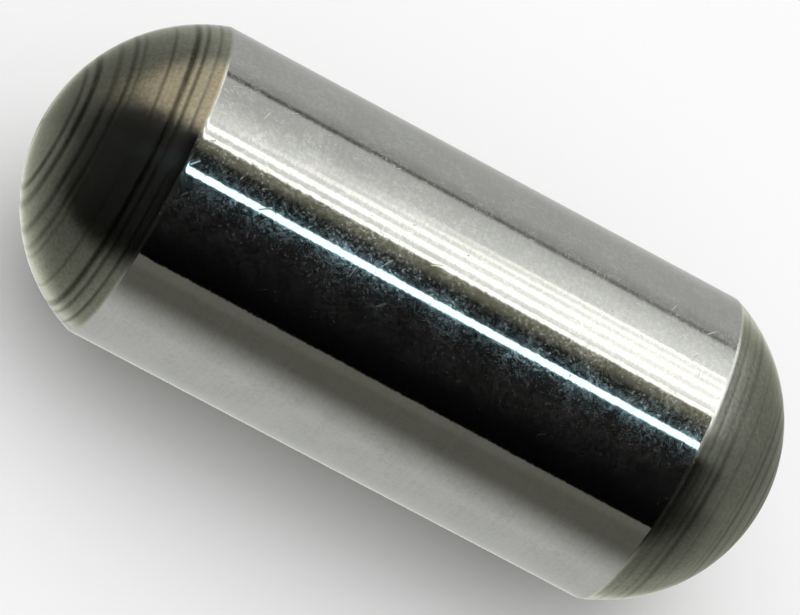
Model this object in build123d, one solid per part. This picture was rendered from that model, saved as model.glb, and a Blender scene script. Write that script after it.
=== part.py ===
from build123d import *
import math
import os

# Hardened and ground steel dowel pin with a turned dome at each end, one solid.
# Millimetres, +Z up. The pin lies along X with its origin halfway between its tips.

# Driving dimensions
ground_diameter = 7.94  # centreless ground body, the fitting diameter
overall_length = 19.2  # from tip to tip, over both domes
dome_height = 2.83  # how far each dome stands out from the end of the ground body
edge_radius = 0.25  # rounding of the corner where a dome meets the ground body

# Worked out from the driving dimensions
ground_radius = ground_diameter / 2
tip_x = overall_length / 2
body_end_x = tip_x - dome_height
dome_radius = (ground_radius**2 + dome_height**2) / (2 * dome_height)
dome_centre_x = tip_x - dome_radius
dome_edge_angle = math.degrees(math.atan2(ground_radius, body_end_x - dome_centre_x))


def half_section():
    """The face above the pin's axis: a straight body between two spherical domes."""
    with BuildSketch(Plane.XY) as section:
        with BuildLine():
            right_dome = CenterArc((dome_centre_x, 0), dome_radius, 0, dome_edge_angle)
            left_dome = mirror(right_dome, about=Plane.YZ)
            Line((body_end_x, ground_radius), (-body_end_x, ground_radius))
            Line((-tip_x, 0), (tip_x, 0))
        make_face()
        dome_corners = section.vertices().group_by(Axis.Y)[-1]
        fillet(dome_corners, radius=edge_radius)
    return section.sketch


def dowel_pin():
    """The section turned once round the axis, as the bar is turned in the lathe."""
    with BuildPart() as pin:
        add(half_section())
        revolve(axis=Axis.X)
    return pin.part


os.makedirs("parts", exist_ok=True)
export_step(dowel_pin(), "parts/dowel_pin.step")
print(f"dome radius {dome_radius:.3f} mm, ground body {2 * body_end_x:.3f} mm long")
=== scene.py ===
import math
from typing import NamedTuple

import bpy
from bpy.props import FloatProperty, FloatVectorProperty, IntProperty, PointerProperty
from mathutils import Matrix, Vector


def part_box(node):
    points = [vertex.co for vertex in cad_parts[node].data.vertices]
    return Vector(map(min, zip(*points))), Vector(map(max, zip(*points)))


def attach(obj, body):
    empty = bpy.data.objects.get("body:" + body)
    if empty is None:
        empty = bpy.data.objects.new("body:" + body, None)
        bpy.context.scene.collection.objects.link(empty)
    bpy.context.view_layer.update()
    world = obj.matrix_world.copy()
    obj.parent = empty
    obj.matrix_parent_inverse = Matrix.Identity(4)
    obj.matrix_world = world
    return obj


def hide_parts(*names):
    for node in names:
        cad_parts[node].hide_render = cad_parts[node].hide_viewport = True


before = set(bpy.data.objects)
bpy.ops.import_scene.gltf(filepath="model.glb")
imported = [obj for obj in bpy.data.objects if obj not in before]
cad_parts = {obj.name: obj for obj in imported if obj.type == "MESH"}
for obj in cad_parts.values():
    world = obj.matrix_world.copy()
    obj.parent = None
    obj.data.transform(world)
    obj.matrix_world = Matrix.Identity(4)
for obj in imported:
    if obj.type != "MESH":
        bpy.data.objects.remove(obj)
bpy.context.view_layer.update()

bl_info = {
    "name": "Dowel Pin",
    "version": (1, 0, 0),
    "blender": (4, 5, 0),
    "location": "3D View > Sidebar > Dowel Pin",
    "description": "Builds a ground steel dowel pin with turned domes, and the studio that it is shown in",
    "category": "Object",
}

# Everything is in metres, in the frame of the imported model: the pin lies along X, centred on the origin.
MM = 0.001
PIN = "dowel_pin"
PIN_LOW, PIN_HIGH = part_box(PIN)
GROUND_RADIUS = PIN_HIGH.y
PIN_LENGTH = PIN_HIGH.x - PIN_LOW.x


class Ring(NamedTuple):
    """A deeper tool mark on a dome, by its angle from the tip and its width in degrees."""

    angle: float
    width: float
    share: float  # of the full depth


TURNED_RINGS = (
    Ring(21.7, 2.0, 0.75),
    Ring(27.0, 2.5, 1.0),
    Ring(35.0, 2.2, 0.7),
    Ring(40.4, 1.6, 0.75),
    Ring(43.4, 1.3, 0.35),
    Ring(53.0, 1.1, 0.45),
    Ring(59.8, 1.8, 0.95),
    Ring(63.0, 1.2, 0.6),
    Ring(67.0, 1.0, 0.6),
)


# Settings that a user would change

class PinSettings(bpy.types.PropertyGroup):
    """Sizes of the pin's turned form."""

    dome_height: FloatProperty(
        name="Dome height", description="How far each dome stands out from the ground body",
        default=2.83 * MM, min=0.5 * MM, unit="LENGTH", subtype="DISTANCE")
    edge_radius: FloatProperty(
        name="Edge radius", description="Rounding of the corner where a dome meets the ground body",
        default=0.25 * MM, min=0.02 * MM, unit="LENGTH", subtype="DISTANCE")
    ring_depth: FloatProperty(
        name="Ring depth", description="Depth of the deepest tool mark on a dome",
        default=0.008 * MM, min=0.0, unit="LENGTH", subtype="DISTANCE")
    feed_pitch: FloatProperty(
        name="Feed pitch", description="Distance from one fine turning mark to the next",
        default=0.07 * MM, min=0.01 * MM, unit="LENGTH", subtype="DISTANCE")
    feed_depth: FloatProperty(
        name="Feed depth", description="Depth of the fine turning marks",
        default=0.0006 * MM, min=0.0, unit="LENGTH", subtype="DISTANCE")
    ring_wander: FloatProperty(
        name="Ring wander", description="How far a tool mark strays from a true circle, seen as an angle",
        default=math.radians(1.6), unit="ROTATION", subtype="ANGLE")
    segments: IntProperty(
        name="Segments round", description="Faces round the pin", default=160, min=32)
    dome_rows: IntProperty(
        name="Dome rows", description="Rows of faces from a dome's tip to its edge", default=256, min=32)
    seed: IntProperty(
        name="Seed", description="Picks the run of the tool marks", default=7)


class FinishSettings(bpy.types.PropertyGroup):
    """Colours and roughness of the two steel finishes."""

    ground_colour: FloatVectorProperty(
        name="Ground steel", description="Colour of the ground and polished body",
        default=(0.60, 0.60, 0.575), min=0.0, max=1.0, subtype="COLOR")
    ground_roughness: FloatProperty(
        name="Ground roughness", description="Roughness of the polished body between its marks",
        default=0.075, min=0.0, max=1.0)
    turned_colour: FloatVectorProperty(
        name="Turned steel", description="Colour of the turned domes",
        default=(0.50, 0.505, 0.46), min=0.0, max=1.0, subtype="COLOR")
    turned_roughness: FloatProperty(
        name="Turned roughness", description="Roughness of the turned domes between their rings",
        default=0.21, min=0.0, max=1.0)
    # The deeper tool marks on the domes are painted darker: painted shade in their grooves
    ring_shade: FloatProperty(
        name="Ring stain", description="How dark the deeper tool marks are, from 0 to 1",
        default=0.92, min=0.0, max=1.0)


class StudioSettings(bpy.types.PropertyGroup):
    """The camera, the floor and the light."""

    azimuth: FloatProperty(
        name="Azimuth", description="Turn of the camera about the vertical, from the front of the pin",
        default=math.radians(-16.3), unit="ROTATION", subtype="ANGLE")
    elevation: FloatProperty(
        name="Elevation", description="Height of the camera above the floor, as an angle",
        default=math.radians(46.83), unit="ROTATION", subtype="ANGLE")
    roll: FloatProperty(
        name="Roll", description="Turn of the camera about its own line of sight",
        default=math.radians(40.03), unit="ROTATION", subtype="ANGLE")
    distance: FloatProperty(
        name="Distance", description="From the camera to the pin",
        default=160.55 * MM, unit="LENGTH", subtype="DISTANCE")
    lens: FloatProperty(
        name="Lens", description="Focal length in millimetres, on a sensor 36 mm wide", default=311.0)
    aim: FloatVectorProperty(
        name="Aim", description="How far the camera stands to the right of and above the line to the pin",
        size=2, default=(-0.102 * MM, 0.148 * MM), unit="LENGTH", subtype="XYZ")
    floor_colour: FloatVectorProperty(
        name="Floor", description="Colour of the paper that the pin lies on",
        default=(0.93, 0.93, 0.93), min=0.0, max=1.0, subtype="COLOR")
    lamp_level: FloatProperty(
        name="Lamp level", description="Brightness of the mirrored lamp overhead, where 1 is white",
        default=2.1, min=0.0)
    window_level: FloatProperty(
        name="Window level", description="Brightness of the mirrored window, where 1 is white",
        default=4.0, min=0.0)


# Node trees written as formulas

COLUMN_WIDTH = 220.0
ROW_HEIGHT = 180.0


class Wire:
    """An output socket that can be used in plain arithmetic, which adds the nodes it needs."""

    def __init__(self, tree, socket):
        self.tree = tree
        self.socket = socket

    def math(self, operation, *others):
        node = self.tree.nodes.new("ShaderNodeMath")
        node.operation = operation
        for slot, value in zip(node.inputs, (self, *others)):
            feed(self.tree, slot, value)
        return Wire(self.tree, node.outputs[0])

    def __add__(self, other):
        return self.math("ADD", other)

    __radd__ = __add__

    def __mul__(self, other):
        return self.math("MULTIPLY", other)

    __rmul__ = __mul__

    def __sub__(self, other):
        return self.math("SUBTRACT", other)

    def __rsub__(self, other):
        return (self * -1.0) + other

    def __truediv__(self, other):
        return self.math("DIVIDE", other)

    def __rtruediv__(self, other):
        node = add_node(self.tree, "ShaderNodeMath", {0: other, 1: self}, operation="DIVIDE")
        return out(self.tree, node)

    def __pow__(self, other):
        return self.math("POWER", other)

    def __abs__(self):
        return self.math("ABSOLUTE")

    def __gt__(self, other):
        return self.math("GREATER_THAN", other)

    def at_least(self, other):
        return self.math("MAXIMUM", other)

    def at_most(self, other):
        return self.math("MINIMUM", other)

    def clamped(self):
        return self.at_least(0.0).at_most(1.0)


def feed(tree, socket, value):
    """Links a wire to an input socket, or sets the socket to a plain value."""
    if isinstance(value, Wire):
        tree.links.new(value.socket, socket)
    else:
        socket.default_value = value


def add_node(tree, kind, inputs=None, **settings):
    """Adds a node, sets its properties, then feeds its inputs by name or by place."""
    node = tree.nodes.new(kind)
    for name, value in settings.items():
        setattr(node, name, value)
    for name, value in (inputs or {}).items():
        feed(tree, node.inputs[name], value)
    return node


def out(tree, node, name=0):
    """The named output of a node, as a wire."""
    return Wire(tree, node.outputs[name])


def split(tree, vector):
    """The three parts of a vector."""
    node = add_node(tree, "ShaderNodeSeparateXYZ", {0: vector})
    return [out(tree, node, index) for index in range(3)]


def join(tree, x, y, z):
    """A vector from its three parts."""
    return out(tree, add_node(tree, "ShaderNodeCombineXYZ", {0: x, 1: y, 2: z}))


def rise(tree, value, start, end, low=0.0, high=1.0):
    """Goes smoothly from low to high while value goes from start to end."""
    node = add_node(tree, "ShaderNodeMapRange", interpolation_type="SMOOTHSTEP")
    for name, number in (
        ("Value", value), ("From Min", start), ("From Max", end), ("To Min", low), ("To Max", high)
    ):
        feed(tree, node.inputs[name], number)
    return out(tree, node, "Result")


def strip(tree, value, start, end, fade_in, fade_out):
    """1 while value is between start and end, with a smooth fade centred on each of them."""
    enters = rise(tree, value, start - fade_in / 2, start + fade_in / 2)
    leaves = rise(tree, value, end - fade_out / 2, end + fade_out / 2)
    return enters * (1.0 - leaves)


def noise(tree, vector=None, w=None, scale=1.0, detail=2.0, roughness=0.5):
    """Noise in space, or along a line where only w is given. Its mean is about 0.5."""
    inputs = {"Scale": scale, "Detail": detail, "Roughness": roughness}
    if vector is None:
        dimensions = "1D"
    elif w is None:
        dimensions = "3D"
    else:
        dimensions = "4D"
    node = add_node(tree, "ShaderNodeTexNoise", noise_dimensions=dimensions)
    if vector is not None:
        inputs["Vector"] = vector
    if w is not None:
        inputs["W"] = w
    for name, value in inputs.items():
        feed(tree, node.inputs[name], value)
    return out(tree, node)


def mix_colour(tree, share, first, second):
    """First where share is 0 and second where it is 1."""
    node = add_node(tree, "ShaderNodeMix", data_type="RGBA")
    colour_a, colour_b = [s for s in node.inputs if s.type == "RGBA"]
    feed(tree, node.inputs[0], share)
    feed(tree, colour_a, first)
    feed(tree, colour_b, second)
    return Wire(tree, [s for s in node.outputs if s.type == "RGBA"][0])


def opaque(colour, level=1.0):
    """A colour of three parts as the four that a colour socket holds."""
    return (*(part * level for part in colour), 1.0)


def new_group(name, kind, inputs, outputs):
    """A node group with its sockets. Gives the tree, its inputs as wires and its output node."""
    tree = bpy.data.node_groups.new(name, kind)
    for in_out, sockets in (("INPUT", inputs), ("OUTPUT", outputs)):
        for socket_name, socket_kind, default in sockets:
            item = tree.interface.new_socket(name=socket_name, in_out=in_out, socket_type=socket_kind)
            if default is not None:
                item.default_value = default
    entry = tree.nodes.new("NodeGroupInput")
    exit_node = tree.nodes.new("NodeGroupOutput")
    return tree, {s.name: Wire(tree, s) for s in entry.outputs if s.name}, exit_node


def arrange(tree):
    """Lays the nodes out from left to right, each one column before the first that it feeds."""
    column = {}

    def place(node, depth):
        if column.get(node.name, -1) >= depth:
            return
        column[node.name] = depth
        for socket in node.inputs:
            for link in socket.links:
                place(link.from_node, depth + 1)

    for node in tree.nodes:
        if not any(socket.links for socket in node.outputs):
            place(node, 0)
    filled = {}
    for node in tree.nodes:
        depth = column.get(node.name, 0)
        filled[depth] = filled.get(depth, 0) + 1
        node.location = (-COLUMN_WIDTH * depth, -ROW_HEIGHT * filled[depth])


# The turned and ground form

BODY_ROWS = 12  # rows of faces on half of the ground body, closer together towards its end
EDGE_ROWS = 8  # rows of faces across an edge rounding
TIP_ANGLE = math.radians(1.2)  # size of the small flat left by the tool at each tip
SEAM_GAP = 1e-7  # vertices of the seam lie within this distance of each other
RIGHT_END_SHARE = 0.5  # the rings are shallower at the right end
LAST_ROW = 0.9999  # share of the dome's rows past which a row is the tip itself
RING_APART = 3.7  # how far apart in the noise the rings take their fading
SIDE_SHIFT = 40.0  # how far each dome's fine turning marks are shifted in their noise, each its own way


def turned_pin_tree():
    """Geometry Nodes for the pin: a grid of faces wrapped round the pin's section."""
    tree, given, exit_node = new_group(
        "turned pin", "GeometryNodeTree",
        [
            ("Ground Radius", "NodeSocketFloat", 3.97 * MM),
            ("Length", "NodeSocketFloat", 19.2 * MM),
            ("Dome Height", "NodeSocketFloat", 2.83 * MM),
            ("Edge Radius", "NodeSocketFloat", 0.25 * MM),
            ("Ring Depth", "NodeSocketFloat", 0.008 * MM),
            ("Ring Wander", "NodeSocketFloat", math.radians(1.6)),
            ("Feed Pitch", "NodeSocketFloat", 0.07 * MM),
            ("Feed Depth", "NodeSocketFloat", 0.0006 * MM),
            ("Segments", "NodeSocketInt", 160),
            ("Dome Rows", "NodeSocketInt", 256),
            ("Seed", "NodeSocketInt", 7),
            ("Ground Finish", "NodeSocketMaterial", None),
            ("Turned Finish", "NodeSocketMaterial", None),
        ],
        [("Pin", "NodeSocketGeometry", None)],
    )
    ground_radius = given["Ground Radius"]
    dome_height = given["Dome Height"]
    edge_radius = given["Edge Radius"]
    half_rows = given["Dome Rows"] + (BODY_ROWS + EDGE_ROWS)
    grid = add_node(tree, "GeometryNodeMeshGrid", {
        "Size X": 2.0, "Size Y": 1.0,
        "Vertices X": half_rows * 2 + 1, "Vertices Y": given["Segments"] + 1,
    })
    across, along, _ = split(tree, out(tree, add_node(tree, "GeometryNodeInputPosition")))
    side = across.math("SIGN")
    row = abs(across) * half_rows
    turn = (along + 0.5) * math.tau

    # The section's circles: the dome, and the rounding that touches both the dome and the body
    dome_radius = (ground_radius ** 2.0 + dome_height ** 2.0) / (dome_height * 2.0)
    dome_centre = given["Length"] / 2.0 - dome_radius
    edge_height = ground_radius - edge_radius
    edge_reach = ((dome_radius - edge_radius) ** 2.0 - edge_height ** 2.0) ** 0.5
    edge_centre = dome_centre + edge_reach
    meeting_angle = edge_height.math("ARCTAN2", edge_reach)

    # How far each row has come along the body, round the edge and over the dome, from 0 to 1
    on_body = (row / float(BODY_ROWS)).clamped()
    on_edge = ((row - float(BODY_ROWS)) / float(EDGE_ROWS)).clamped()
    on_dome = ((row - float(BODY_ROWS + EDGE_ROWS)) / given["Dome Rows"]).clamped()
    body_x = edge_centre * (1.0 - (1.0 - on_body) ** 2.0)
    edge_angle = math.pi / 2 - on_edge * (math.pi / 2 - meeting_angle)
    before_tip = LAST_ROW - on_dome > 0.0
    dome_angle = (TIP_ANGLE + (meeting_angle - TIP_ANGLE) * (1.0 - on_dome)) * before_tip
    meridian = (dome_angle * dome_radius + (edge_angle - meeting_angle) * edge_radius
                + (edge_centre - body_x))

    # Tool marks on the domes: the deeper rings stray a little from true circles and fade in and out
    around = join(tree, side * dome_angle.math("COSINE"),
                  turn.math("SINE") * dome_angle.math("SINE"),
                  turn.math("COSINE") * dome_angle.math("SINE"))
    seed = given["Seed"] * 1.0
    strayed = dome_angle + (noise(tree, around, seed, 0.8, 1.0) - 0.5) * given["Ring Wander"] * 2.0
    ring = None
    for number, mark in enumerate(TURNED_RINGS):
        off = abs(strayed - math.radians(mark.angle))
        shape = rise(tree, off, math.radians(mark.width), 0.0)
        fading = rise(tree, noise(tree, around, seed + RING_APART * number, 1.1, 2.0), 0.25, 0.6, 0.45)
        depth = shape * mark.share * fading
        ring = depth if ring is None else ring.at_least(depth)
    at_right = rise(tree, side, -1.0, 1.0)
    ring = ring * (1.0 + at_right * (RIGHT_END_SHARE - 1.0))
    fine = noise(tree, w=meridian / given["Feed Pitch"] + side * SIDE_SHIFT + seed, detail=1.0)
    on_dome_only = rise(tree, on_dome, 0.0, 0.01)
    sunk = (ring * given["Ring Depth"] + fine * given["Feed Depth"]) * on_dome_only

    # The section's point in each row, then its turn round the pin
    dome_reach = dome_radius - sunk
    is_dome = on_dome > 0.0
    section_x = ((body_x + edge_angle.math("COSINE") * edge_radius) * (1.0 - is_dome)
                 + (dome_centre + dome_reach * dome_angle.math("COSINE")) * is_dome)
    section_r = ((edge_height + edge_angle.math("SINE") * edge_radius) * (1.0 - is_dome)
                 + dome_reach * dome_angle.math("SINE") * is_dome)
    place = join(tree, section_x * side,
                 section_r * turn.math("SINE") * -1.0,
                 section_r * turn.math("COSINE"))

    geometry = out(tree, grid)
    worn = rise(tree, on_edge, 0.1, 0.6) * (1.0 - is_dome)
    rim = rise(tree, on_dome, 0.06, 0.0) * is_dome
    kept = {"meridian": meridian, "ring": ring * is_dome, "dome": is_dome, "worn_edge": worn, "rim": rim}
    for name, value in kept.items():
        stored = add_node(tree, "GeometryNodeStoreNamedAttribute", {
            "Geometry": geometry, "Name": name, "Value": value,
        }, data_type="FLOAT", domain="POINT")
        geometry = out(tree, stored)
    wrapped = add_node(tree, "GeometryNodeSetPosition", {"Geometry": geometry, "Position": place})
    closed = add_node(tree, "GeometryNodeMergeByDistance", {
        "Geometry": out(tree, wrapped), "Distance": SEAM_GAP,
    })
    smooth = add_node(tree, "GeometryNodeSetShadeSmooth", {"Geometry": out(tree, closed)})
    whole = add_node(tree, "GeometryNodeRealizeInstances", {"Geometry": out(tree, smooth)})
    ground = add_node(tree, "GeometryNodeSetMaterial", {
        "Geometry": out(tree, whole), "Material": given["Ground Finish"],
    })
    dome_faces = add_node(tree, "GeometryNodeInputNamedAttribute", {"Name": "dome"}, data_type="FLOAT")
    turned = add_node(tree, "GeometryNodeSetMaterial", {
        "Geometry": out(tree, ground), "Material": given["Turned Finish"],
        "Selection": out(tree, dome_faces) > 0.75,
    })
    tree.links.new(turned.outputs[0], exit_node.inputs[0])
    arrange(tree)
    return tree


# Steel finishes

DULL_STEEL = (0.30, 0.31, 0.30)
# Colour of the painted shade in the deeper tool marks; the pits are darkened towards it too
DARK_MARK_COLOUR = (0.07, 0.07, 0.05)
COOL_SPECK = (0.42, 0.66, 0.74)
WARM_SPECK = (0.78, 0.55, 0.42)
WAVE_HEIGHT = 0.0016 * MM
SCRATCH_DEPTH = 0.002 * MM
FEED_LINE_HEIGHT = 0.0010 * MM
DOMES_APART = 50.0  # millimetres between the feed lines of the two domes, so that they differ


def pits_group():
    """Small pits: a mask of scattered round spots, more of them in some places than in others."""
    tree, given, exit_node = new_group(
        "steel pits", "ShaderNodeTree",
        [
            ("Position", "NodeSocketVector", None),
            ("Pits per mm", "NodeSocketFloat", 9.0),
            ("Share", "NodeSocketFloat", 0.3),
        ],
        [("Mask", "NodeSocketFloat", None)],
    )
    cells = add_node(tree, "ShaderNodeTexVoronoi", {
        "Vector": given["Position"], "Scale": given["Pits per mm"], "Randomness": 1.0,
    })
    tone = split(tree, out(tree, cells, "Color"))[0]
    clouds = noise(tree, given["Position"], scale=1.3, detail=3.0, roughness=0.6)
    chance = given["Share"] * rise(tree, clouds, 0.3, 0.7, 0.4, 1.6)
    chosen = rise(tree, chance - tone, 0.0, 0.15)
    core = rise(tree, out(tree, cells, "Distance"), 0.62, 0.12)
    feed(tree, exit_node.inputs["Mask"], chosen * core)
    arrange(tree)
    return tree


def noise_peaks(tree, position, w, per_mm, least):
    """A mask of the highest places of a noise, where it is above least."""
    spots = noise(tree, position, w=w, scale=per_mm, detail=4.0, roughness=0.7)
    return rise(tree, spots, least, least + 0.06)


def haze_group():
    """The haze of a polished surface: grains that scatter light, fine frost and a few specks."""
    tree, given, exit_node = new_group(
        "polishing haze", "ShaderNodeTree",
        [
            ("Position", "NodeSocketVector", None),
            ("Grains per mm", "NodeSocketFloat", 14.0),
            ("Frost per mm", "NodeSocketFloat", 12.0),
            ("Frost Share", "NodeSocketFloat", 0.05),
            ("Specks per mm", "NodeSocketFloat", 9.0),
            ("Speck Share", "NodeSocketFloat", 0.08),
        ],
        [
            ("Haze", "NodeSocketFloat", None),
            ("Frost", "NodeSocketFloat", None),
            ("Specks", "NodeSocketFloat", None),
            ("Hue", "NodeSocketColor", None),
        ],
    )
    position = given["Position"]
    clouds = noise(tree, position, scale=1.0, detail=4.0, roughness=0.65)
    grains = add_node(tree, "ShaderNodeTexVoronoi", {
        "Vector": position, "Scale": given["Grains per mm"], "Randomness": 1.0,
    })
    strength = split(tree, out(tree, grains, "Color"))[0] ** 2.2
    cloudy = rise(tree, clouds, 0.34, 0.64, 0.35, 1.1)
    feed(tree, exit_node.inputs["Haze"], (strength * 0.87 + 0.13) * cloudy)

    # Frost and specks are the peaks of two noises, with more of them where the clouds are thick
    crowded = rise(tree, clouds, 0.35, 0.62)
    least_frost = 0.62 - given["Frost Share"] * crowded
    frost = noise_peaks(tree, position, 2.0, given["Frost per mm"], least_frost)
    feed(tree, exit_node.inputs["Frost"], frost)
    least_speck = 0.69 - given["Speck Share"] * crowded
    specks = noise_peaks(tree, position, 6.0, given["Specks per mm"], least_speck)
    feed(tree, exit_node.inputs["Specks"], specks)
    warmth = noise(tree, position, w=9.0, scale=given["Specks per mm"] * 0.5, detail=1.0)
    hue = mix_colour(tree, rise(tree, warmth, 0.42, 0.58), opaque(COOL_SPECK), opaque(WARM_SPECK))
    feed(tree, exit_node.inputs["Hue"], hue)
    arrange(tree)
    return tree


def scratches_group():
    """Short straight scratches, one in some cells of a grid on the surface, each at its own angle."""
    tree, given, exit_node = new_group(
        "short scratches", "ShaderNodeTree",
        [
            ("Along", "NodeSocketFloat", None),
            ("Around", "NodeSocketFloat", None),
            ("Scratches per mm", "NodeSocketFloat", 1.0),
            ("Length", "NodeSocketFloat", 0.15),
            ("Width", "NodeSocketFloat", 0.02),
            ("Share", "NodeSocketFloat", 0.3),
            ("Lean", "NodeSocketFloat", 0.7),
        ],
        [("Mask", "NodeSocketFloat", None)],
    )
    flat = join(tree, given["Along"], given["Around"], 0.0)
    cells = add_node(tree, "ShaderNodeTexVoronoi", {
        "Vector": flat, "Scale": given["Scratches per mm"], "Randomness": 1.0,
    }, voronoi_dimensions="2D")
    chance, lean, size = split(tree, out(tree, cells, "Color"))
    centre_x, centre_y, _ = split(tree, out(tree, cells, "Position"))
    offset_x = given["Along"] - centre_x
    offset_y = given["Around"] - centre_y
    angle = given["Lean"] + (lean - 0.5) * 1.3
    forward = offset_x * angle.math("COSINE") + offset_y * angle.math("SINE")
    sideways = offset_y * angle.math("COSINE") - offset_x * angle.math("SINE")
    reach = given["Length"] * (size + 0.4)
    body = rise(tree, abs(forward), reach, reach * 0.6) * rise(tree, abs(sideways), given["Width"], 0.0)
    feed(tree, exit_node.inputs["Mask"], body * (given["Share"] > chance))
    arrange(tree)
    return tree


def machining_group():
    """Fine lines that run round the pin, as a grinding wheel or a turning tool leaves them."""
    tree, given, exit_node = new_group(
        "machining lines", "ShaderNodeTree",
        [
            ("Position", "NodeSocketVector", None),
            ("Distance", "NodeSocketFloat", None),
            ("Lines per mm", "NodeSocketFloat", 14.0),
            ("Breaks", "NodeSocketFloat", 0.5),
        ],
        [("Height", "NodeSocketFloat", None)],
    )
    lines = noise(tree, w=given["Distance"] * given["Lines per mm"], detail=3.0, roughness=0.65)
    patches = noise(tree, given["Position"], scale=1.7, detail=2.0)
    kept = 1.0 - given["Breaks"] * rise(tree, patches, 0.35, 0.65)
    feed(tree, exit_node.inputs["Height"], (lines - 0.5) * kept + 0.5)
    arrange(tree)
    return tree


def attribute(tree, name):
    """A number that the pin's node tree has stored on its mesh."""
    return out(tree, add_node(tree, "ShaderNodeAttribute", attribute_name=name), "Fac")


def use_group(tree, group, **inputs):
    """Places a shader group in a material and feeds its inputs, named with _ for a space."""
    node = add_node(tree, "ShaderNodeGroup", node_tree=group)
    for name, value in inputs.items():
        feed(tree, node.inputs[name.replace("_", " ")], value)
    return node


def steel_material(name):
    """An empty metal material, with its object coordinates in millimetres."""
    material = bpy.data.materials.new(name)
    material.use_nodes = True
    tree = material.node_tree
    shader = tree.nodes["Principled BSDF"]
    shader.inputs["Metallic"].default_value = 1.0
    coordinates = add_node(tree, "ShaderNodeTexCoord")
    in_mm = add_node(tree, "ShaderNodeMapping", {
        "Vector": out(tree, coordinates, "Object"), "Scale": (1 / MM, 1 / MM, 1 / MM),
    })
    tangent = add_node(tree, "ShaderNodeTangent", direction_type="RADIAL", axis="X")
    tree.links.new(tangent.outputs[0], shader.inputs["Tangent"])
    shader.inputs["Anisotropic Rotation"].default_value = 0.25
    return material, tree, shader, out(tree, in_mm)


def bumped(tree, height, depth, below=None):
    """A normal from a height, where depth is the real depth in metres of a height of 1."""
    node = add_node(tree, "ShaderNodeBump", {"Height": height, "Distance": depth, "Strength": 1.0})
    if below is not None:
        feed(tree, node.inputs["Normal"], below)
    return out(tree, node)


def ground_finish(settings, groups):
    """The centreless ground and polished body: a mirror with a fine haze, scratches and grinding lines."""
    material, tree, shader, position = steel_material("ground_steel_body")
    along, front, top = split(tree, position)
    around = (front * -1.0).math("ARCTAN2", top) * (GROUND_RADIUS / MM)
    haze = use_group(tree, groups["haze"], Position=position, Grains_per_mm=14.0,
                     Frost_per_mm=12.0, Frost_Share=0.05, Specks_per_mm=9.0, Speck_Share=0.08)
    marks = use_group(tree, groups["scratches"], Along=along, Around=around,
                      Scratches_per_mm=1.2, Length=0.13, Width=0.021, Share=0.42, Lean=-0.9)
    grinding = use_group(tree, groups["machining"], Position=position, Distance=along,
                         Lines_per_mm=9.0, Breaks=0.6)
    ground = out(tree, grinding)

    # Haze and marks go where light falls, on the top of the body. Haze and frost start higher up than
    # specks and scratches
    height = top / (GROUND_RADIUS / MM)
    hazy = rise(tree, height, 0.49, 0.77, 0.02, 1.0)
    marked = rise(tree, height, 0.42, 0.66, 0.04, 1.0)
    worn_areas = rise(tree, noise(tree, position, w=5.0, scale=0.5, detail=2.0), 0.44, 0.56)
    frosted = out(tree, haze, "Frost") * hazy
    specked = out(tree, haze, "Specks") * marked
    scratched = out(tree, marks) * marked * worn_areas

    # The haze is a second, rougher reflection, which lies over the mirror grain by grain
    hazed = out(tree, haze, "Haze") * hazy
    feed(tree, shader.inputs["Coat Weight"], hazed.at_most(1.0))
    shader.inputs["Coat Roughness"].default_value = 0.25
    shader.inputs["Coat IOR"].default_value = 3.4
    shader.inputs["Anisotropic"].default_value = 0.85
    worn = frosted * 0.28 + specked * 0.52 + scratched * 0.46 + attribute(tree, "worn_edge") * 0.12
    roughness = worn + ground * 0.02 + (settings.ground_roughness - 0.02)
    feed(tree, shader.inputs["Roughness"], roughness)

    # Blotches and grinding lines vary the colour a little, and the frost and specks are cool or warm
    tone = rise(tree, noise(tree, position, scale=0.8, detail=5.0, roughness=0.65), 0.3, 0.7)
    ribs = rise(tree, ground, 0.35, 0.65)
    base = mix_colour(tree, tone * 0.6 + ribs * 0.4, opaque(settings.ground_colour, 0.94),
                      opaque(settings.ground_colour, 1.06))
    grain = out(tree, haze, "Haze") * rise(tree, height, 0.92, 0.84, 0.12, 0.22)
    grainy = mix_colour(tree, grain, base, opaque(DULL_STEEL))
    speckled = (frosted * 0.5 + specked * 0.3).at_most(0.8)
    feed(tree, shader.inputs["Base Color"], mix_colour(tree, speckled, grainy, out(tree, haze, "Hue")))

    wavy = noise(tree, join(tree, along * 6.0, front * 2.5, top * 2.5), detail=2.0, roughness=0.6)
    ribbed = bumped(tree, wavy + ground * 0.15, WAVE_HEIGHT)
    feed(tree, shader.inputs["Normal"], bumped(tree, scratched, -SCRATCH_DEPTH, ribbed))
    arrange(tree)
    return material


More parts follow.
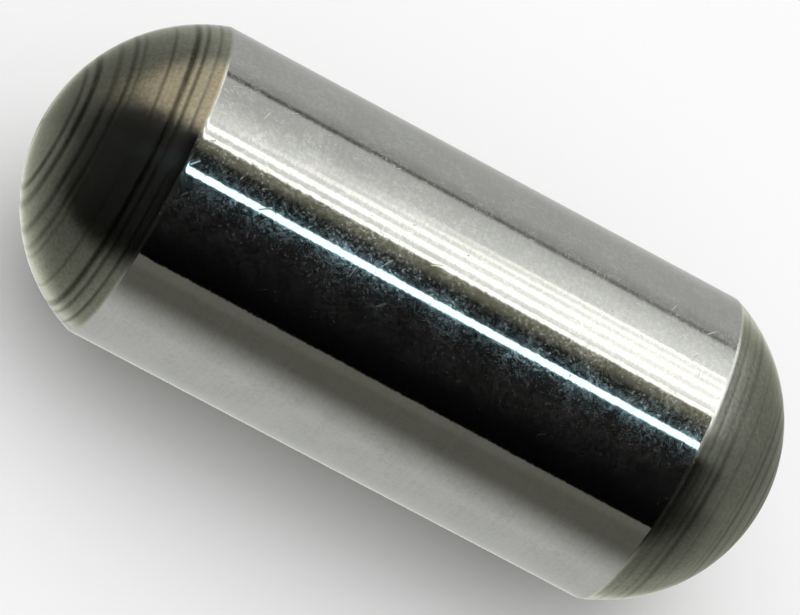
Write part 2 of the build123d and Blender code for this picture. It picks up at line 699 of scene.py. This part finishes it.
def turned_finish(settings, groups):
    """The domes as turned: satin steel with painted shade in the rings, fine feed lines and small pits."""
    material, tree, shader, position = steel_material("turned_steel_domes")
    along, _, _ = split(tree, position)
    distance = attribute(tree, "meridian") / MM + (along > 0.0) * DOMES_APART
    feed_lines = use_group(tree, groups["machining"], Position=position, Distance=distance,
                           Lines_per_mm=9.0, Breaks=0.6)
    pits = use_group(tree, groups["pits"], Position=position, Pits_per_mm=7.0, Share=0.06)
    lines = out(tree, feed_lines)
    grain = noise(tree, position, scale=11.0, detail=3.0, roughness=0.65)
    patchy = noise(tree, position, scale=5.0, detail=3.0, roughness=0.6)
    # The deeper tool marks are painted darker in patches, as painted shade in their grooves, and the pits
    # are darker
    shaded_ring = (attribute(tree, "ring") * 1.4).at_most(1.0) * settings.ring_shade
    darkening = shaded_ring * rise(tree, patchy, 0.2, 0.55, 0.7) + out(tree, pits) * 0.35

    tone = noise(tree, position, scale=0.6, detail=3.0) * 0.5 + rise(tree, grain, 0.3, 0.7) * 0.5
    base = mix_colour(tree, tone, opaque(settings.turned_colour, 0.72),
                      opaque(settings.turned_colour, 1.28))
    lined = mix_colour(tree, rise(tree, lines, 0.3, 0.7, 0.0, 0.22), base,
                       opaque(settings.turned_colour, 0.62))
    feed(tree, shader.inputs["Base Color"], mix_colour(tree, darkening.at_most(0.97), lined, opaque(DARK_MARK_COLOUR)))

    # The lines and the grain add 0.07 on average, which is taken off again
    rubbed = attribute(tree, "rim") * 0.12
    roughness = lines * 0.06 + grain * 0.08 + darkening * 0.06 - rubbed + (settings.turned_roughness - 0.07)
    feed(tree, shader.inputs["Roughness"], roughness)
    shader.inputs["Anisotropic"].default_value = 0.94
    feed(tree, shader.inputs["Normal"], bumped(tree, lines + grain * 0.3, FEED_LINE_HEIGHT))
    arrange(tree)
    return material


# The studio

TENT_RADIUS = 100 * MM
TENT_REACH = 400 * MM  # how far the tent runs to each side of the pin
TENT_SIDES = 96
BODY_MIDDLE = 19.4  # where on the tent, in millimetres along the pin, the middle of the body looks
SLANT_REACH = 30.0  # how far to each side of there a slanted band goes on slanting
LAMP_START = 86.6  # the angle at which the ceiling and the glow of the lamp start
LAMP_SLANT = -0.22
WINDOW_SLANT = -0.13
FLOOR_SIZE = 3.0
SOFT_LAMP_PLACE = (0.05, 0.12, 0.5)
SOFT_LAMP_SIZE = 0.5
SOFT_LAMP_POWER = 0.42
WORLD_GREY = (0.93, 0.93, 0.93)

PAPER_TINT = (0.985, 1.0, 0.975)
SHADE_TINT = (1.0, 1.0, 0.84)
PAPER_EDGE_TINT = (1.0, 1.0, 0.86)
GLOW_TINT = (1.0, 1.0, 0.62)
MURK_TINT = (1.0, 0.78, 0.62)
OLIVE = (0.965, 1.0, 0.83)
CREAM = (1.0, 0.85, 0.61)
WINDOW_TINT = (0.54, 0.87, 1.0)
LAMP_TINT = (1.0, 1.0, 0.94)


class Band(NamedTuple):
    """A band of what the body mirrors, by its angles round the pin's axis in degrees:
    0 is level with the pin in front of it, 90 is overhead and 180 is level behind it."""

    name: str
    start: float
    end: float
    fade_in: float
    fade_out: float
    slant: float  # degrees that the band turns for each millimetre along the pin
    level: float  # 1 is white
    tint: tuple


# From below the pin, round its front, to behind it. Each band lies over the ones before it.
ROOM_BANDS = (
    Band("paper beside the pin", -154.0, -49.0, 40.0, 14.0, -0.25, 0.61, PAPER_TINT),
    Band("paper past the pin", -142.0, -124.0, 12.0, 12.0, 0.0, 0.95, PAPER_TINT),
    Band("glare on the paper", -132.5, -123.0, 1.0, 8.0, 0.0, 1.3, PAPER_TINT),
    Band("paper in the pin's shade", -34.5, 2.0, 26.0, 1.0, -0.25, 0.125, SHADE_TINT),
    Band("far edge of the paper", -8.0, 2.0, 6.0, 1.0, 0.0, 0.16, PAPER_EDGE_TINT),
    Band("dark room", -0.7, 90.0, 1.2, 2.0, -0.11, 0.0, PAPER_TINT),
    Band("glow under the lamp", 79.0, 92.0, 8.0, 2.0, LAMP_SLANT, 0.15, GLOW_TINT),
    Band("ceiling", LAMP_START, 142.0, 1.5, 4.0, LAMP_SLANT, 0.56, PAPER_TINT),
    Band("lit ceiling", LAMP_START, 114.0, 1.5, 24.0, LAMP_SLANT, 0.9, PAPER_TINT),
    Band("wall past the joint", 141.0, 151.0, 2.0, 14.0, -0.1, 0.36, PAPER_TINT),
    Band("ceiling joint", 139.2, 143.2, 3.5, 3.5, -0.1, 0.09, PAPER_TINT),
)
FAR_WALL_LEVEL = 0.48  # where no band lies


class Tube(NamedTuple):
    """A tube of the lamp overhead, by its middle and its width in degrees."""

    angle: float
    width: float
    begins: float  # where along the pin it starts to shine, in millimetres


LAMP_TUBES = (
    Tube(87.7, 3.0, -50.0),
    Tube(94.9, 3.8, -50.0),
    Tube(102.6, 3.4, 13.0),
    Tube(108.8, 2.2, 18.0),
    Tube(114.4, 2.2, 21.0),
)


class TentLight:
    """The light of the tent, made of patches that lie over each other.

    A patch is placed by the angle round the pin's axis, in degrees as for a band,
    and by the distance along the pin, in millimetres.
    """

    def __init__(self, tree):
        self.tree = tree
        coordinates = add_node(tree, "ShaderNodeTexCoord")
        along, front, top = split(tree, out(tree, coordinates, "Object"))
        self.along = along / MM
        self.angle = top.math("ARCTAN2", front * -1.0) * (180 / math.pi)
        self.slide = (self.along - BODY_MIDDLE).at_least(-SLANT_REACH).at_most(SLANT_REACH)
        self.light = opaque(PAPER_TINT, FAR_WALL_LEVEL)

    def slanted(self, slant):
        """The angle that a band with this slant is measured by."""
        return self.angle - self.slide * slant if slant else self.angle

    def around(self, start, end, fade_in, fade_out, slant=0.0):
        """1 between two angles round the pin."""
        return strip(self.tree, self.slanted(slant), start, end, fade_in, fade_out)

    def between(self, start, end, fade_in, fade_out):
        """1 between two distances along the pin."""
        return strip(self.tree, self.along, start, end, fade_in, fade_out)

    def past(self, start, end, low=0.0, high=1.0):
        """Goes from low to high while the distance along the pin goes from start to end."""
        return rise(self.tree, self.along, start, end, low, high)

    def cover(self, name, mask, colour):
        """Lays a patch over what is there, under its own name in the node editor."""
        self.light = mix_colour(self.tree, mask, self.light, colour)
        self.light.socket.node.label = name

    def lay(self, name, mask, tint, level):
        """Lays a patch of one level."""
        self.cover(name, mask, opaque(tint, level))

    def lay_uneven(self, name, mask, tint, level):
        """Lays a patch whose level changes from place to place."""
        self.cover(name, mask, mix_colour(self.tree, level, opaque(tint, 0.0), opaque(tint)))


def lay_bands(tent):
    """What the body mirrors: bands along the pin, brighter overhead towards its right end."""
    for band in ROOM_BANDS:
        mask = tent.around(band.start, band.end, band.fade_in, band.fade_out, band.slant)
        tent.lay(band.name, mask, band.tint, band.level)
    patchy = noise(tent.tree, join(tent.tree, tent.along * 0.25, tent.angle * 0.06, 0.0),
                   detail=3.0, roughness=0.6)
    murk = tent.around(26.0, 58.0, 16.0, 8.0) * rise(tent.tree, patchy, 0.45, 0.7)
    tent.lay("murk in the dark room", murk, MURK_TINT, 0.010)
    to_right = tent.past(8.0, 32.0)
    wide_glow = tent.around(LAMP_START, 132.0, 1.5, 34.0, LAMP_SLANT) * to_right
    tent.lay("wide glow of the lamp", wide_glow, PAPER_TINT, 1.1)
    gap_light = tent.around(92.0, 114.0, 6.0, 6.0, LAMP_SLANT) * to_right
    tent.lay("light between the tubes", gap_light, LAMP_TINT, 1.45)


def lay_far_ends(tent):
    """What the domes mirror past the ends of the body: paper that falls off into a dim room."""
    beneath = tent.around(-134.0, -95.0, 20.0, 30.0)
    left_level = ((22.0 / (abs(tent.along) + 5.0)) ** 0.8).at_most(0.9) * (beneath * 0.55 + 0.45)
    tent.lay_uneven("left of the body", tent.past(-3.0, -15.0), OLIVE, left_level)
    in_front = tent.around(-62.0, -10.0, 30.0, 30.0)
    under = tent.around(-138.0, -84.0, 30.0, 20.0) * tent.past(66.0, 94.0)
    falling = (45.0 / tent.along.at_least(45.0)) ** 3.0 * 0.66 + 0.17
    right_level = falling * (1.0 - in_front * 0.3) * (under * 0.45 + 1.0)
    past_body = tent.past(36.0, 46.0)
    tent.lay_uneven("right of the body", past_body, OLIVE, right_level)

    # Lit places close to the body, which each dome mirrors next to its edge
    reach = 84.0 + (150.0 - tent.angle) * 0.82
    within_reach = rise(tent.tree, tent.along, reach + 4.0, reach - 4.0) * past_body
    near_edge = tent.around(80.0, 160.0, 20.0, 20.0) * within_reach
    tent.lay("lit place on the right", near_edge, PAPER_TINT, 0.9)
    both_ends = tent.between(38.0, 74.0, 6.0, 10.0) + tent.between(-28.0, -4.0, 8.0, 6.0)
    edge_lit = tent.around(84.0, 150.0, 6.0, 24.0) * both_ends.at_most(1.0)
    tent.lay("lit edges of both domes", edge_lit, LAMP_TINT, 1.3)


def lay_doorway(tent):
    """The dark doorway in front of the pin, which widens towards the left, and the wall above it."""
    spread = (-55.0 - tent.along).at_least(0.0)
    doorway_top = 95.0 + spread * 0.30
    doorway_foot = -15.0 - spread * 0.42
    above_foot = rise(tent.tree, tent.angle, doorway_foot - 16.0, doorway_foot + 16.0)
    below_top = rise(tent.tree, tent.angle, doorway_top + 9.0, doorway_top - 9.0)
    tent.lay("doorway", above_foot * below_top * tent.past(4.0, -10.0), OLIVE, 0.004)
    dark_right = tent.around(-30.0, 59.0, 40.0, 12.0) * tent.between(35.0, 300.0, 6.0, 160.0)
    tent.lay("dark room on the right", dark_right, OLIVE, 0.01)
    above_top = rise(tent.tree, tent.angle, doorway_top - 8.0, doorway_top + 10.0)
    below_ceiling = rise(tent.tree, tent.angle, 166.0, 146.0)
    wall = above_top * below_ceiling * tent.between(-150.0, -32.0, 60.0, 16.0)
    tent.lay("warm wall", wall * tent.past(-170.0, -40.0, 0.7, 1.0), CREAM, 0.74)


def lay_window_and_lamp(tent, settings):
    """The bluish window in front of the pin and the lamp overhead, with darker slats along it."""
    window = tent.around(61.2, 65.6, 1.0, 1.0, WINDOW_SLANT) * tent.between(-12.0, 42.0, 10.0, 12.0)
    tent.lay("window", window, WINDOW_TINT, settings.window_level)
    in_lamp = tent.between(-30.0, 82.0, 16.0, 24.0)
    for tube in LAMP_TUBES:
        start, end = tube.angle - tube.width / 2, tube.angle + tube.width / 2
        mask = tent.around(start, end, 0.5, 0.5, LAMP_SLANT)
        shining = tent.past(tube.begins - 6.0, tube.begins + 8.0) * in_lamp
        tent.lay("tube of the lamp", mask * shining, LAMP_TINT, settings.lamp_level)
    stripes = noise(tent.tree, w=tent.slanted(LAMP_SLANT) * 1.1, detail=3.0, roughness=0.7)
    slats = tent.around(87.5, 120.0, 2.0, 10.0, LAMP_SLANT) * rise(tent.tree, stripes, 0.56, 0.70)
    tent.lay("slats along the lamp", slats * in_lamp * 0.5, PAPER_TINT, 0.6)


def tent_material(settings):
    """Light that depends on the direction from the pin, so that the steel mirrors a room."""
    material = bpy.data.materials.new("studio_tent")
    material.use_nodes = True
    tree = material.node_tree
    tree.nodes.clear()
    tent = TentLight(tree)
    lay_bands(tent)
    lay_far_ends(tent)
    lay_doorway(tent)
    lay_window_and_lamp(tent, settings)
    glow = add_node(tree, "ShaderNodeEmission", {"Color": tent.light, "Strength": 1.0})
    target = add_node(tree, "ShaderNodeOutputMaterial")
    tree.links.new(glow.outputs[0], target.inputs["Surface"])
    arrange(tree)
    return material


def new_mesh_object(name, vertices, faces, material):
    """A mesh object at the origin."""
    mesh = bpy.data.meshes.new(name)
    mesh.from_pydata(vertices, [], faces)
    mesh.materials.append(material)
    thing = bpy.data.objects.new(name, mesh)
    bpy.context.scene.collection.objects.link(thing)
    return thing


def build_tent(settings):
    """An open tube of light round the pin, seen only by what mirrors it."""
    vertices = []
    for x in (-TENT_REACH, TENT_REACH):
        for step in range(TENT_SIDES):
            turn = math.tau * step / TENT_SIDES
            vertices.append((x, -TENT_RADIUS * math.cos(turn), TENT_RADIUS * math.sin(turn)))
    faces = []
    for side in range(TENT_SIDES):
        after = (side + 1) % TENT_SIDES
        faces.append((side, after, TENT_SIDES + after, TENT_SIDES + side))
    tent = new_mesh_object("studio_tent", vertices, faces, tent_material(settings))
    tent.visible_camera = False
    tent.visible_diffuse = False
    tent.visible_transmission = False
    tent.visible_shadow = False


def build_floor(settings):
    """White paper under the pin. The steel mirrors the tent's paper instead of it."""
    material = bpy.data.materials.new("white_paper")
    material.use_nodes = True
    tree = material.node_tree
    shader = tree.nodes["Principled BSDF"]
    coordinates = add_node(tree, "ShaderNodeTexCoord")
    in_mm = add_node(tree, "ShaderNodeMapping", {
        "Vector": out(tree, coordinates, "Object"), "Scale": (1 / MM, 1 / MM, 1 / MM),
    })
    fibres = noise(tree, out(tree, in_mm), scale=3.0, detail=3.0)
    shade = mix_colour(tree, fibres, opaque(settings.floor_colour, 0.995),
                       opaque(settings.floor_colour, 1.005))
    feed(tree, shader.inputs["Base Color"], shade)
    shader.inputs["Roughness"].default_value = 0.9
    shader.inputs["Specular IOR Level"].default_value = 0.0
    arrange(tree)
    half = FLOOR_SIZE / 2
    z = PIN_LOW.z
    corners = [(-half, -half, z), (half, -half, z), (half, half, z), (-half, half, z)]
    floor = new_mesh_object("floor", corners, [(0, 1, 2, 3)], material)
    floor.visible_glossy = False


def build_lamp():
    """One large soft lamp overhead, which lights the paper and isn't mirrored."""
    lamp = bpy.data.lights.new("soft_lamp", "AREA")
    lamp.shape = "DISK"
    lamp.size = SOFT_LAMP_SIZE
    lamp.energy = SOFT_LAMP_POWER
    thing = bpy.data.objects.new("soft_lamp", lamp)
    thing.location = SOFT_LAMP_PLACE
    thing.rotation_euler = Vector(thing.location).to_track_quat("Z", "Y").to_euler()
    thing.visible_glossy = False
    bpy.context.scene.collection.objects.link(thing)


def build_world():
    """White where the camera looks past the floor, even light on the paper, a dim room in the steel."""
    world = bpy.data.worlds.new("studio")
    bpy.context.scene.world = world
    world.use_nodes = True
    tree = world.node_tree
    tree.nodes.clear()
    ray = add_node(tree, "ShaderNodeLightPath")
    heading = add_node(tree, "ShaderNodeTexCoord")
    to_right = split(tree, out(tree, heading, "Generated"))[0]
    far_end = mix_colour(tree, rise(tree, to_right, -0.3, 0.3), opaque(OLIVE, 0.012), opaque(OLIVE, 0.18))
    dim_room = mix_colour(tree, out(tree, ray, "Is Glossy Ray"), opaque(WORLD_GREY), far_end)
    seen = mix_colour(tree, out(tree, ray, "Is Camera Ray"), dim_room, opaque((1.0, 1.0, 1.0)))
    glow = add_node(tree, "ShaderNodeBackground", {"Color": seen, "Strength": 1.0})
    target = add_node(tree, "ShaderNodeOutputWorld")
    tree.links.new(glow.outputs[0], target.inputs["Surface"])
    arrange(tree)


def build_camera(settings):
    """The camera, turned about its own line of sight so that the pin lies slantwise in the picture."""
    turned = (Matrix.Rotation(settings.azimuth, 4, "Z")
              @ Matrix.Rotation(math.pi / 2 - settings.elevation, 4, "X")
              @ Matrix.Rotation(settings.roll, 4, "Z"))
    camera = bpy.data.cameras.new("camera")
    camera.lens = settings.lens
    camera.sensor_width = 36.0
    camera.clip_start = 0.01
    thing = bpy.data.objects.new("camera", camera)
    thing.matrix_world = turned @ Matrix.Translation((*settings.aim, settings.distance))
    bpy.context.scene.collection.objects.link(thing)
    bpy.context.scene.camera = thing
    bpy.context.scene.view_settings.view_transform = "Standard"


# Operators, panel and registration

class DOWEL_OT_stage(bpy.types.Operator):
    """Adds the camera, the white paper, the soft lamp and the tent of light that the steel mirrors"""

    bl_idname = "dowel.stage"
    bl_label = "Set up the studio"

    def execute(self, context):
        settings = context.scene.dowel_studio
        build_camera(settings)
        build_floor(settings)
        build_lamp()
        build_world()
        build_tent(settings)
        return {"FINISHED"}


class DOWEL_OT_pin(bpy.types.Operator):
    """Builds the dowel pin with its ground body and turned domes"""

    bl_idname = "dowel.pin"
    bl_label = "Build the dowel pin"

    def execute(self, context):
        sizes = context.scene.dowel_pin
        finish = context.scene.dowel_finish
        groups = {
            "haze": haze_group(),
            "pits": pits_group(),
            "scratches": scratches_group(),
            "machining": machining_group(),
        }
        tree = turned_pin_tree()
        values = {
            "Ground Radius": GROUND_RADIUS,
            "Length": PIN_LENGTH,
            "Dome Height": sizes.dome_height,
            "Edge Radius": sizes.edge_radius,
            "Ring Depth": sizes.ring_depth,
            "Ring Wander": sizes.ring_wander,
            "Feed Pitch": sizes.feed_pitch,
            "Feed Depth": sizes.feed_depth,
            "Segments": sizes.segments,
            "Dome Rows": sizes.dome_rows,
            "Seed": sizes.seed,
            "Ground Finish": ground_finish(finish, groups),
            "Turned Finish": turned_finish(finish, groups),
        }
        source = bpy.data.objects.new("pin_source", bpy.data.meshes.new("pin_source"))
        context.scene.collection.objects.link(source)
        modifier = source.modifiers.new("turned pin", "NODES")
        modifier.node_group = tree
        for item in tree.interface.items_tree:
            if item.in_out == "INPUT":
                modifier[item.identifier] = values[item.name]
        source.update_tag()
        graph = context.evaluated_depsgraph_get()
        graph.update()
        mesh = bpy.data.meshes.new_from_object(source.evaluated_get(graph))
        if not mesh.polygons:
            raise RuntimeError("the pin's node tree made no faces")
        bpy.data.objects.remove(source)
        mesh.name = "turned_dowel_pin"
        pin = bpy.data.objects.new("turned_dowel_pin", mesh)
        context.scene.collection.objects.link(pin)
        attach(pin, "root")
        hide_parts(PIN)
        return {"FINISHED"}


class DOWEL_PT_panel(bpy.types.Panel):
    """Lists the settings and the steps in the sidebar"""

    bl_idname = "DOWEL_PT_panel"
    bl_label = "Dowel Pin"
    bl_space_type = "VIEW_3D"
    bl_region_type = "UI"
    bl_category = "Dowel Pin"

    def draw(self, context):
        layout = self.layout
        for group in SETTINGS:
            box = layout.box()
            for name in SETTINGS[group].__annotations__:
                box.prop(getattr(context.scene, group), name)
        for operator in (DOWEL_OT_stage, DOWEL_OT_pin):
            layout.operator(operator.bl_idname)


SETTINGS = {
    "dowel_pin": PinSettings,
    "dowel_finish": FinishSettings,
    "dowel_studio": StudioSettings,
}
CLASSES = (*SETTINGS.values(), DOWEL_OT_stage, DOWEL_OT_pin, DOWEL_PT_panel)


def register():
    for item in CLASSES:
        bpy.utils.register_class(item)
    for name, group in SETTINGS.items():
        setattr(bpy.types.Scene, name, PointerProperty(type=group))


def unregister():
    for name in SETTINGS:
        delattr(bpy.types.Scene, name)
    for item in reversed(CLASSES):
        bpy.utils.unregister_class(item)


def main():
    register()
    bpy.ops.dowel.stage()
    bpy.ops.dowel.pin()


if __name__ == "__main__":
    main()
